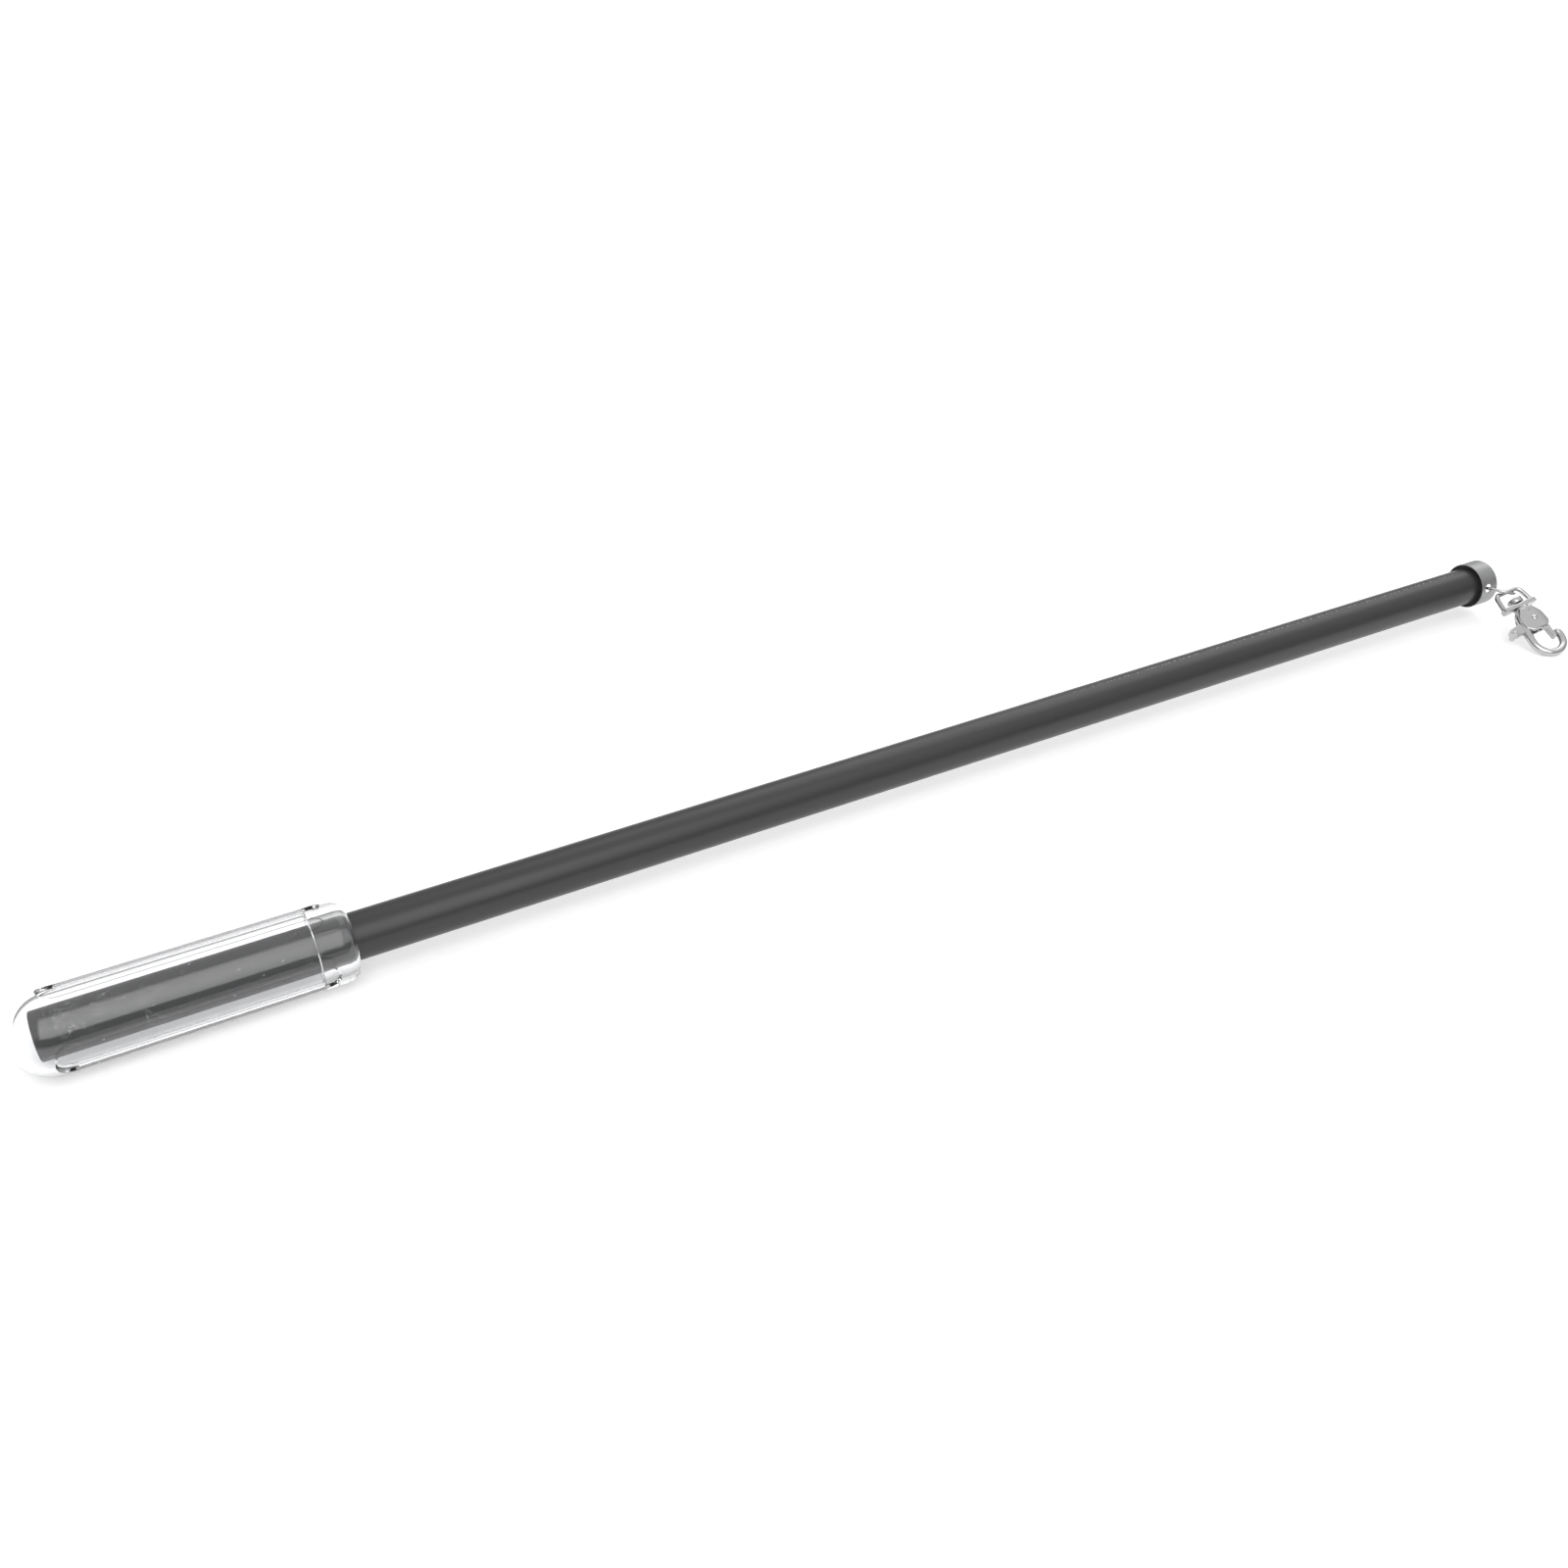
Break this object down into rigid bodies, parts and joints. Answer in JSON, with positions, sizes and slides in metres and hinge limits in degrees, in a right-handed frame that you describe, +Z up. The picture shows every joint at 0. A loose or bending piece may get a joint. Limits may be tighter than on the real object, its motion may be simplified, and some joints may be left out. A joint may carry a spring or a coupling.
{
  "type": "curtain wand",
  "caption": "Metal tube with a fluted clear grip on one end and, on the other, a ferrule whose link ring carries a swivel clasp for a curtain's leading carrier.",
  "frame": {"origin": "on the wand's axis, at the station of the ferrule's side hole", "axes": "+X along the wand from the grip to the ferrule, +Z up with the wand at rest on the surface, -Y the side on which the clasp lies"},
  "size_m": [0.4699, 0.047, 0.0208],
  "materials": {
    "tube": "satin dark grey",
    "grip": "clear, polished",
    "end_cap": "satin",
    "cap_sleeve": "matte black",
    "link_ring": "bright nickel",
    "clasp": "bright nickel",
    "spring": "bright wire"
  },
  "bodies": {
    "wand": {"tube": "tube", "grip": "grip", "end_cap": "end_cap", "cap_sleeve": "cap_sleeve"},
    "ring": {"link_ring": "link_ring"},
    "eye": {"swivel_eye": "clasp"},
    "hook": {"clasp_body": "clasp", "swivel_post": "clasp", "trigger_pin": "clasp", "trigger_spring": "spring"},
    "trigger": {"trigger": "clasp"}
  },
  "joints": [
    {"name": "ring_swing", "type": "hinge", "parent": "wand", "child": "ring", "pos_m": [0.0031, -0.00727, 0.00052], "axis": [0.342, 0.2114, 0.9156], "range_deg": [-5, 75]},
    {"name": "eye_swing", "type": "hinge", "parent": "ring", "child": "eye", "pos_m": [0.00306, -0.01188, 0.0016], "axis": [0.9848, -0.072, 0.158], "range_deg": [-40, 40]},
    {"name": "swivel_spin", "type": "hinge", "parent": "eye", "child": "hook", "pos_m": [0.00306, -0.01857, -0.00145], "axis": [0, 0.91, 0.4147], "continuous": true},
    {"name": "trigger_turn", "type": "hinge", "parent": "hook", "child": "trigger", "pos_m": [0.00306, -0.02366, -0.00377], "axis": [0.1736, 0.4084, -0.8961], "range_deg": [0, 28], "stiffness_Nm_per_rad": 0.01}
  ]
}
